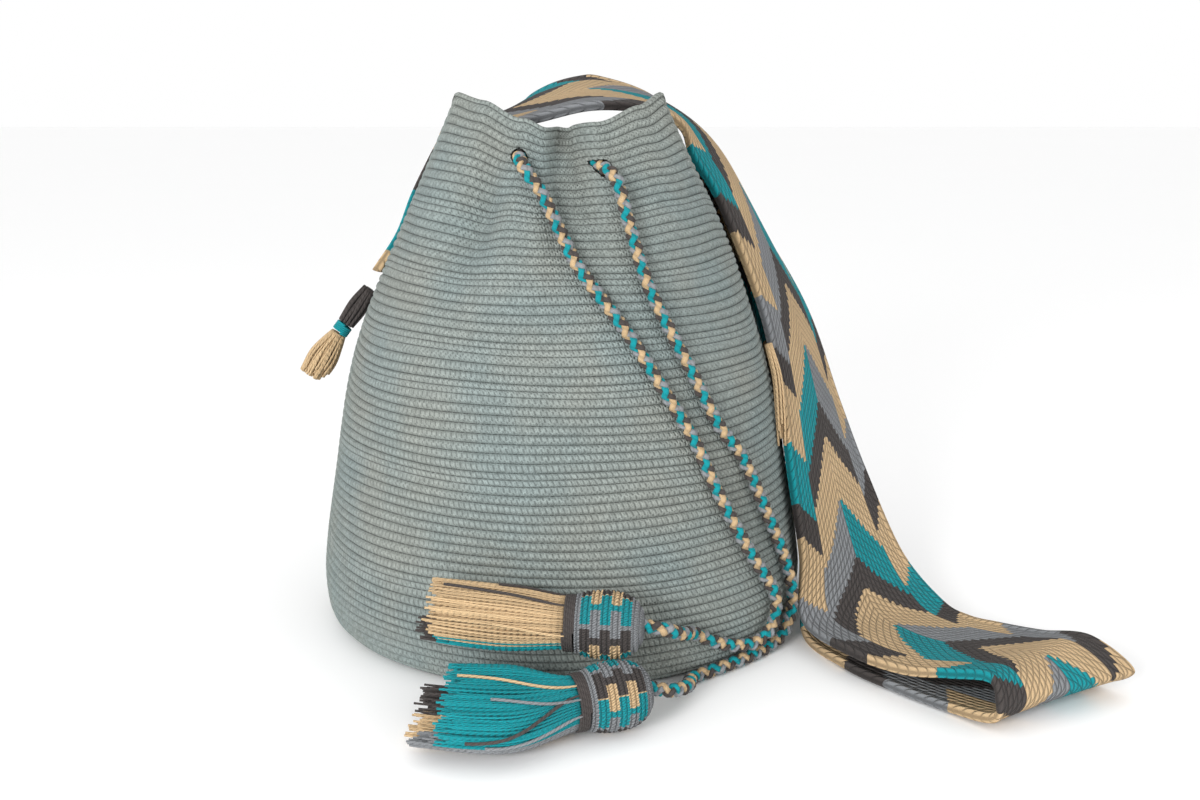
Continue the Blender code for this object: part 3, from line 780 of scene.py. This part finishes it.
def strap_sections():
    """Sections from the strap's left end round to its right end, before smoothing."""
    left = LEFT_SEAM_AZIMUTH
    right = RIGHT_SEAM_AZIMUTH
    sections = [seam_section(left, 0.170, STRAP_ON_WALL, -1, 180, FLARE)]
    for height in (0.195, 0.220, 0.240, 0.256):
        sections.append(seam_section(left, height, STRAP_ON_WALL, -1, 180))
    centres = [Vector(centre) for centre, across, bow in FREE_STRAP]
    for i, (centre, across, bow) in enumerate(FREE_STRAP):
        along = (centres[min(i + 1, len(centres) - 1)] - centres[max(i - 1, 0)]).normalized()
        sections.append(free_section(centres[i], Vector(across), along, bow))
    sections.append(seam_section(right, 0.2230, DOUBLED_LAYER, 1, 0))
    sections.append(seam_section(right, 0.2320, DOUBLED_LAYER - 0.0006, 1, 20))
    sections.append(seam_section(right, 0.2360, (DOUBLED_LAYER + STRAP_ON_WALL) / 2, 1, 90))
    sections.append(seam_section(right, 0.2320, STRAP_ON_WALL + 0.0006, 1, 160))
    for height in (0.223, 0.198, 0.172, 0.147):
        sections.append(seam_section(right, height, STRAP_ON_WALL, 1, 180))
    return sections


def add_strap():
    """The woven band. Returns the piece and the band's length."""
    columns = [smooth_route(track, STRAP_STEPS) for track in zip(*strap_sections())]
    loops = list(zip(*columns))
    count = len(STRAP_PROFILE)
    middle = count // 2
    centre_line = [(loop[middle] + loop[2 * count - 1 - middle]) / 2 for loop in loops]
    lengths = route_lengths(centre_line)
    shares = [share for share, half in STRAP_PROFILE]
    shares = shares + shares[::-1] + shares[:1]

    woven = [length + DRAWN_IN * max(DRAWN_IN_BEFORE - length, 0.0) for length in lengths]

    def thread(strip, ring, step):
        return shares[step] * STRAP_WIDTH / 2, woven[ring] + ZIGZAG_SKEW * shares[step]

    skin = Skin()
    skin.loft(loops, thread)
    strap = skin.build("woven_strap", [strap_material()])
    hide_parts("strap")
    return strap, lengths[-1]


def add_seam(name, node, azimuth, heights, both_sides, yarn):
    """Overcast stitches along the edges and the end of one sewn end of the strap.

    Without both_sides, the strap's right edge and that end of its lower edge stay bare.
    """
    low, high = heights
    half = STRAP_WIDTH / 2
    places = []              # across and height outside the strap's edge, and the same inside it
    count = int((high - low) / SEAM_STITCH_STEP)
    for side in (-1, 1) if both_sides else (-1,):
        for i in range(count + 1):
            height = high - i * SEAM_STITCH_STEP
            places.append(((side * (half + 0.0030), height - 0.0015),
                           (side * (half - 0.0032), height + 0.0015)))
    for i in range(-6, 7 if both_sides else 4):
        across = i * half / 7
        places.append(((across - 0.0015, low - 0.0035), (across + 0.0015, low + 0.0035)))

    def on_wall(across, height, stand_off):
        middle = wall_point(azimuth, height)
        return wall_point(azimuth + math.degrees(across / math.hypot(middle.x, middle.y)), height, stand_off)

    skin = Skin()
    for number, (outside, inside) in enumerate(places):
        crest = [(a + b) / 2 for a, b in zip(outside, inside)]
        route = [on_wall(*outside, 0.0000), on_wall(*outside, 0.0018),
                 on_wall(*crest, STRAP_ON_WALL + 0.0028),
                 on_wall(*inside, STRAP_ON_WALL + 0.0022), on_wall(*inside, STRAP_ON_WALL)]
        route = smooth_route(route, 4)
        skin.yarn(route, [SEAM_YARN_RADIUS] * len(route), 6, number)
    piece = skin.build(name, [yarn])
    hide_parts(node)
    return piece


# Drawstring ----------------------------------------------------------------------------------

def mouth_route():
    """Inside the mouth, from the left eyelet round the back to the right eyelet."""
    places = (
        (240.0, 0.2432), (232.0, 0.2420), (216.0, 0.2400), (196.0, 0.2390), (176.0, 0.2390),
        (156.0, 0.2390), (136.0, 0.2390), (116.0, 0.2390), (96.0, 0.2390), (76.0, 0.2390),
        (56.0, 0.2390), (36.0, 0.2390), (16.0, 0.2390), (356.0, 0.2395), (338.0, 0.2405),
        (322.0, 0.2415), (309.0, 0.2425), (301.0, 0.2430),
    )
    return [wall_point(azimuth, height, CORD_IN_MOUTH) for azimuth, height in places]


def left_tail_route():
    """Out of the left eyelet, slanting down the front to the lower right and back to the upper tassel."""
    on_wall = (
        (248.6, 0.2485, -0.0080), (251.4, 0.2452, -0.0022), (254.8, 0.2408, 0.0036), (259.0, 0.2350, 0.0068),
        (264.6, 0.2260, 0.0062), (272.2, 0.2050, 0.0050), (277.7, 0.1889, 0.0042), (288.6, 0.1617, 0.0037),
        (296.0, 0.1372, 0.0037), (303.3, 0.1119, 0.0037), (308.3, 0.0894, 0.0037), (314.1, 0.0661, 0.0037),
        (319.4, 0.0475, 0.0037), (323.3, 0.0355, 0.0039), (324.8, 0.0262, 0.0043), (322.9, 0.0165, 0.0050),
        (318.0, 0.0128, 0.0053), (311.8, 0.0142, 0.0045), (305.0, 0.0195, 0.0040), (299.0, 0.0265, 0.0048),
    )
    free = ((0.0565, -0.1285, 0.0330), (0.0490, -0.1378, 0.0384), (0.0412, -0.1400, 0.0409))
    return [wall_point(*place) for place in on_wall] + [Vector(place) for place in free]


def right_tail_route():
    """Out of the right eyelet, down outside the left tail, round on the floor to the lower tassel."""
    on_wall = (
        (292.0, 0.2465, -0.0085), (292.6, 0.2415, -0.0028), (293.2, 0.2360, 0.0032), (293.7, 0.2290, 0.0066),
        (294.3, 0.2200, 0.0062), (295.4, 0.2085, 0.0045), (298.0, 0.1782, 0.0037), (305.2, 0.1420, 0.0037),
        (311.0, 0.1170, 0.0037), (318.2, 0.0991, 0.0037), (325.2, 0.0711, 0.0037), (330.3, 0.0480, 0.0037),
        (333.2, 0.0305, 0.0038), (333.4, 0.0180, 0.0045), (330.2, 0.0085, 0.0054), (324.0, 0.0064, 0.0050),
        (316.0, 0.0062, 0.0045), (308.0, 0.0062, 0.0045), (300.0, 0.0066, 0.0060),
    )
    free = ((0.0590, -0.1290, 0.0085), (0.0520, -0.1440, 0.0130), (0.0431, -0.1501, 0.0166))
    return [wall_point(*place) for place in on_wall] + [Vector(place) for place in free]


def facing_frames(route, facings):
    """Frames whose first direction looks away from the bag's axis, turned by the facings in degrees."""
    frames = []
    for i, point in enumerate(route):
        along = (route[min(i + 1, len(route) - 1)] - route[max(i - 1, 0)]).normalized()
        outward = Vector((point.x, point.y, 0.35 * math.hypot(point.x, point.y)))
        outward = (outward - along * outward.dot(along)).normalized()
        beside = along.cross(outward)
        turned = smoothstep(0.70, 0.95, i / len(route))
        facing = math.radians(facings[0] + (facings[1] - facings[0]) * turned)
        side = outward * math.cos(facing) + beside * math.sin(facing)
        frames.append((side, along.cross(side)))
    return frames


def braid(name, route, facings, yarns):
    """Round braid of four strands: two turn one way, two the other, passing over and under."""
    lengths = route_lengths(route)
    frames = facing_frames(route, facings)
    skin = Skin()
    sides = 8
    for strand in range(4):
        turn = 1 if strand < 2 else -1
        start = math.pi * (strand % 2)
        loops = []
        for point, (side, other), length in zip(route, frames, lengths):
            winding = math.tau * length / BRAID_PITCH
            angle = turn * winding + start
            outward = side * math.cos(angle) + other * math.sin(angle)
            round_it = (other * math.cos(angle) - side * math.sin(angle)) * turn
            over = turn * math.cos(2 * winding)
            centre = point + outward * (BRAID_MIDDLE + BRAID_SWING * over)
            loop = []
            for j in range(sides):
                a = math.tau * j / sides
                thick = 0.0013 + 0.0001 * over
                wide = 0.0018 + 0.0003 * over
                loop.append(centre + outward * (thick * math.cos(a)) + round_it * (wide * math.sin(a)))
            loops.append(loop)
        skin.loft(loops, lambda strip, ring, j: (strand + j / sides, lengths[ring]), strand)
    return skin.build(name, yarns)


def add_tail(name, node, route, facings, yarns, tassel):
    """One free end of the drawstring, which runs on into its tassel's cap."""
    into_cap = route[-1] + (route[-1] - route[-2]).normalized() * BRAID_INTO_CAP
    path = evenly_spaced(smooth_route(route + [into_cap], 12), BRAID_STEP)
    piece = braid(name, path, facings, yarns)
    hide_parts(node)
    route_lengths(path)[-1]
    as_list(tassel)
    return piece


def add_mouth_run(yarns):
    path = evenly_spaced(smooth_route(mouth_route(), 12), BRAID_STEP)
    piece = braid("braided_mouth_run", path, (180, 180), yarns)
    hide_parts("drawstring_mouth_run")
    return piece


# Tassels -------------------------------------------------------------------------------------

def axis_frame(axis):
    """The front direction and the upward one, both square to the axis."""
    front = Vector((0.0, 0.0, 1.0)).cross(axis).normalized()
    return front, axis.cross(front)


def add_cap(name, node, origin, axis, turned_by):
    """Crocheted cap with a relief of rounds and stitches."""
    front, up = axis_frame(axis)
    length = CAP_PROFILE[-1][0]
    around = CAP_STITCHES * 4
    steps = 6 * round(length / CAP_ROW)
    loops = []
    distances = []
    for step in range(steps + 1):
        distance = length * step / steps
        row = math.floor(distance / CAP_ROW)
        swell = 1.0 - abs(2.0 * (distance / CAP_ROW - row) - 1.0) ** 3
        radius = smooth_table(CAP_PROFILE, distance)
        loop = []
        for j in range(around):
            bead = math.sin(math.pi * (j / 4 + 0.5 * (row % 2))) ** 2
            r = radius - 0.0009 + swell * (0.0005 + 0.0008 * bead)
            angle = math.tau * j / around
            across = front * (r * math.cos(angle)) + up * (r * math.sin(angle))
            loop.append(origin + axis * distance + across)
        loops.append(loop)
        distances.append(distance)
    skin = Skin()
    skin.loft(loops, lambda strip, ring, j: (j / around, distances[ring]))
    piece = skin.build(name, [cap_material(f"{name}_crochet", turned_by)])
    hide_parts(node)
    return piece


def add_binding(name, node, origin, axis, radius, start, end, yarn):
    """Yarn wound side by side round a neck."""
    front, up = axis_frame(axis)
    thickness = 0.0011
    turns = round((end - start) / thickness)
    steps = 28
    route = []
    for i in range(turns * steps + 1):
        angle = math.tau * i / steps
        distance = start + thickness / 2 + (end - start - thickness) * i / (turns * steps)
        r = radius - thickness / 2
        route.append(origin + axis * distance + front * (r * math.cos(angle)) + up * (r * math.sin(angle)))
    skin = Skin()
    skin.yarn(route, [thickness * 0.56] * len(route), 6, 0)
    piece = skin.build(name, [yarn])
    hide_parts(node)
    return piece


def skirt_frame(skirt, share):
    """Centre and the two cross directions of a skirt, which leaves the binding square to it."""
    start, control, tip = skirt["line"]
    rest = 1.0 - share
    centre = start * rest * rest + control * 2.0 * share * rest + tip * share * share
    along = ((control - start) * rest + (tip - control) * share).normalized()
    front, up = axis_frame(along)
    return centre, front, up


def skirt_yarn(skirt, places, reach, samples=15):
    """Route of one yarn. places(share) gives its angle in radians and its share of the skirt's size."""
    route = []
    for i in range(samples):
        share = reach * i / (samples - 1)
        swell = smoothstep(0.0, 0.55, share) + 0.16 * math.sin(math.pi * min(share, 1.0))
        width = SKIRT_NECK + (skirt["half_width"] - SKIRT_NECK) * swell
        height = SKIRT_NECK + (skirt["half_height"] - SKIRT_NECK) * swell
        centre, front, up = skirt_frame(skirt, share)
        angle, size = places(share)
        point = centre + (front * (width * math.cos(angle)) + up * (height * math.sin(angle))) * size
        point.z = max(point.z, YARN_RADIUS)
        route.append(point)
    return route


def yarn_radii(count, thickest=YARN_RADIUS):
    """Yarns are squeezed at the neck and full further on."""
    return [thickest * (0.62 + 0.38 * smoothstep(0.0, 0.25, i / (count - 1))) for i in range(count)]


def add_hank(name, node, skirt, sector, reach, colour, yarns, strays, seed):
    """One colour's bundle of yarns, in shells from the skirt's surface inwards, and any stray ones on it."""
    chance = random.Random(seed)
    start, end = (math.radians(angle) for angle in sector)
    size = (skirt["half_width"] + skirt["half_height"]) / 2
    skin = Skin()
    number = 0
    for shell in range(7):
        share_out = 1.0 - (YARN_RADIUS + shell * YARN_SPACING) / size
        count = max(2, round((end - start) * size * share_out / YARN_SPACING))
        for i in range(count):
            base = start + (end - start) * (i + 0.5) / count + chance.uniform(-0.03, 0.03)
            drift = chance.uniform(-0.10, 0.10)
            phase = chance.uniform(0, math.tau)
            sway = chance.uniform(0.01, 0.035)
            puff = share_out * chance.uniform(0.965, 1.02)

            def places(share):
                angle = base + drift * share + sway * share * math.sin(5.0 * share + phase)
                return angle, puff + 0.5 * sway * share * math.cos(6.0 * share + phase)

            ragged = 1.03 - 0.13 * chance.random() - 0.012 * shell
            route = skirt_yarn(skirt, places, reach * ragged)
            skin.yarn(route, yarn_radii(len(route)), 5, number)
            number += 1
    materials = [yarns[colour]]
    for stray_colour, angles, proud, stray_reach in strays:
        materials.append(yarns[stray_colour])
        first, last = (math.radians(angle) for angle in angles)

        def places(share):
            swing = smoothstep(0.0, 1.0, share / stray_reach)
            return first + (last - first) * swing, proud + 0.015 * math.sin(9 * share + number)

        route = skirt_yarn(skirt, places, stray_reach, 22)
        skin.yarn(route, yarn_radii(len(route), 0.0007), 6, number, len(materials) - 1)
        number += 1
    piece = skin.build(name, materials)
    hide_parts(node)
    return piece


def add_tassel(prefix, centre, axis, tip, half_sizes, turned_by, hanks, yarns):
    """Cap, neck binding and hanks of one tassel; axis points from the cord to the skirt."""
    axis = Vector(axis).normalized()
    origin = Vector(centre) - axis * CAP_HALF_LENGTH
    pieces = [
        add_cap(f"{prefix}_crocheted_cap", f"{prefix}_cap", origin, axis, turned_by),
        add_binding(f"{prefix}_wound_neck", f"{prefix}_neck_binding", origin, axis, BINDING_RADIUS,
                    BINDING_START - 0.0006, BINDING_END + 0.0004, yarns["charcoal"]),
    ]
    start = origin + axis * (SKIRT_START - 0.0015)
    skirt = {"line": (start, start + axis * SKIRT_LEAD, Vector(tip)),
             "half_width": half_sizes[0], "half_height": half_sizes[1]}
    for seed, (colour, sector, reach, strays) in enumerate(hanks):
        pieces.append(add_hank(f"{prefix}_{colour}_yarns", f"{prefix}_{colour}_hank", skirt, sector, reach,
                               colour, yarns, strays, f"{prefix} {seed}"))
    return pieces


def add_tassels(yarns):
    """Sectors run from 0 at the front through 90 at the top to 180 against the bag."""
    upper_hanks = (
        ("beige", (-40, 215), 0.97,
         (("charcoal", (112, 96), 1.03, 0.55), ("charcoal", (60, 72), 1.03, 0.9))),
        ("charcoal", (215, 275), 1.04, ()),
        ("teal", (275, 330), 0.90, (("beige", (-6, 8), 1.05, 0.55),)),
    )
    upper = add_tassel("upper_tassel", (0.0220, -0.1385, 0.0412), (-1.0, 0.08, 0.02),
                       (-0.0560, -0.1330, 0.0465), (0.0130, 0.0140), 80, upper_hanks, yarns)
    lower_strays = (
        ("beige", (60, 84), 1.04, 0.80), ("charcoal", (38, -8), 1.05, 0.72),
        ("grey", (30, 52), 1.05, 0.60), ("grey", (-4, -18), 1.03, 0.62),
    )
    lower_hanks = (
        ("teal", (-25, 195), 0.86, lower_strays), ("charcoal", (195, 240), 1.04, ()),
        ("beige", (240, 288), 1.04, ()), ("grey", (288, 335), 1.0, ()),
    )
    lower = add_tassel("lower_tassel", (0.0250, -0.1560, 0.0158), (-0.93, -0.30, -0.04),
                       (-0.0560, -0.1660, 0.0172), (0.0270, 0.0146), 142, lower_hanks, yarns)
    return upper, lower


# Strap-end fringes ---------------------------------------------------------------------------

def add_fringe(name, node, places, radii, yarn, yarn_radius, seed):
    """A bundle of loose yarn ends that follows the CAD bundle's middle line and thickness."""
    chance = random.Random(seed)
    middle = smooth_route(places, 5)
    frames = square_frames(middle)
    table = [(i / (len(radii) - 1), radius) for i, radius in enumerate(radii)]
    widest = max(radii)
    skin = Skin()
    number = 0
    shells = max(1, round(widest / (yarn_radius * 1.8)))
    for shell in range(shells):
        share_out = (shells - shell - 0.4) / shells
        count = max(3, round(math.tau * widest * share_out / (yarn_radius * 1.9)))
        for i in range(count):
            base = math.tau * i / count + chance.uniform(-0.2, 0.2)
            drift = chance.uniform(-0.5, 0.5)
            keep = len(middle) - (chance.randrange(4) if len(middle) > 12 else 0)
            route = []
            for step in range(keep):
                share = step / (len(middle) - 1)
                side, other = frames[step]
                r = smooth_table(table, share) * share_out
                angle = base + drift * share
                route.append(middle[step] + (side * math.cos(angle) + other * math.sin(angle)) * r)
            skin.yarn(route, [yarn_radius] * len(route), 5, number)
            number += 1
    piece = skin.build(name, [yarn])
    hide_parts(node)
    return piece


def add_fringes(yarns):
    """The strap's warp ends, left hanging below each seam."""
    charcoal = add_fringe(
        "left_charcoal_ends", "left_fringe_charcoal",
        ((-0.1020, 0.0330, 0.1620), (-0.1085, 0.0320, 0.1530), (-0.1150, 0.0310, 0.1440)),
        (0.0036, 0.0052, 0.0042), yarns["charcoal"], 0.0008, 1)
    start = Vector((-0.1155, 0.0309, 0.1433))
    end = Vector((-0.1185, 0.0303, 0.1393))
    binding = add_binding("left_ends_binding", "left_fringe_binding", start, (end - start).normalized(),
                          0.0046, -0.0004, (end - start).length + 0.0004, yarns["teal"])
    beige = add_fringe(
        "left_beige_ends", "left_fringe_beige",
        ((-0.1190, 0.0302, 0.1386), (-0.1225, 0.0295, 0.1335), (-0.1275, 0.0285, 0.1260),
         (-0.1335, 0.0270, 0.1165)),
        (0.0038, 0.0058, 0.0078, 0.0070), yarns["beige"], 0.0007, 2)
    right = add_fringe(
        "right_beige_ends", "right_fringe",
        ((0.1040, -0.0175, 0.1420), (0.1080, -0.0240, 0.1270), (0.1093, -0.0297, 0.1110),
         (0.1102, -0.0348, 0.0940)),
        (0.0018, 0.0025, 0.0026, 0.0022), yarns["beige"], 0.0006, 3)
    return [charcoal, binding, beige, right]


# Stage ---------------------------------------------------------------------------------------

def add_floor():
    bpy.ops.mesh.primitive_plane_add(size=12.0)
    floor = bpy.context.object
    floor.name = "studio_floor"
    floor.location.z = -0.0002
    floor.data.materials.append(floor_material())


def add_light(name, place, aim, size, power):
    light = bpy.data.lights.new(name, "AREA")
    light.shape = "DISK"
    light.size = size
    light.energy = power
    lamp = bpy.data.objects.new(name, light)
    lamp.location = place
    lamp.rotation_euler = (Vector(aim) - Vector(place)).to_track_quat("-Z", "Y").to_euler()
    bpy.context.scene.collection.objects.link(lamp)


def add_studio():
    """White surround and a broad key from the front left, low enough to leave the mouth in shade."""
    world = bpy.data.worlds.new("studio")
    world.use_nodes = True
    world.node_tree.nodes["Background"].inputs["Color"].default_value = (1.0, 1.0, 1.0, 1.0)
    world.node_tree.nodes["Background"].inputs["Strength"].default_value = 1.0
    bpy.context.scene.world = world
    bpy.context.scene.view_settings.view_transform = "Standard"
    aim = (0.03, -0.02, 0.11)
    add_light("key", (-0.60, -1.35, 0.50), aim, 0.5, 15.0)
    add_light("fill", (1.20, -0.90, 0.60), aim, 1.0, 3.0)


def add_camera():
    camera = bpy.data.cameras.new("camera")
    camera.sensor_width = 36.0
    camera.lens = 43.6
    viewer = bpy.data.objects.new("camera", camera)
    viewer.location = (0.020, -0.731, 0.278)
    viewer.rotation_euler = (math.radians(77.0), 0.0, 0.0)
    bpy.context.scene.collection.objects.link(viewer)
    bpy.context.scene.camera = viewer


# Everything together -------------------------------------------------------------------------

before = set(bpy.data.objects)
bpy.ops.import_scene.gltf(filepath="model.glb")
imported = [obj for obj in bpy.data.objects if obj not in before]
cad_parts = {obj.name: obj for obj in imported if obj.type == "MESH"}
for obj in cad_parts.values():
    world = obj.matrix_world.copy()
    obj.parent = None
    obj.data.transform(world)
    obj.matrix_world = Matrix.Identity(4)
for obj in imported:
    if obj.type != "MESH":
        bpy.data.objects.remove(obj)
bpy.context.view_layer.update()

add_camera()
YARNS = {name: yarn_material(name) for name in ("teal", "beige", "charcoal", "grey")}
STRANDS = [YARNS["teal"], YARNS["beige"], YARNS["charcoal"], YARNS["grey"]]
upper_tassel, lower_tassel = add_tassels(YARNS)
parts = upper_tassel + lower_tassel
parts.append(add_tail("left_braided_tail", "drawstring_left_tail", left_tail_route(), (45, -45), STRANDS,
                      upper_tassel))
parts.append(add_tail("right_braided_tail", "drawstring_right_tail", right_tail_route(), (45, 45), STRANDS,
                      lower_tassel))
parts.append(add_mouth_run(STRANDS))
parts.append(add_bag_body())
woven_strap, strap_length = add_strap()
fringes = add_fringes(YARNS)
parts.append(woven_strap)
parts += fringes
parts.append(add_seam("left_seam_stitches", "left_seam_yarn", LEFT_SEAM_AZIMUTH, LEFT_SEAM_HEIGHTS, False,
                      YARNS["charcoal"]))
parts.append(add_seam("right_seam_stitches", "right_seam_yarn", RIGHT_SEAM_AZIMUTH, RIGHT_SEAM_HEIGHTS, True,
                      YARNS["charcoal"]))
for part in parts:
    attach(part, "root")

add_floor()
add_studio()
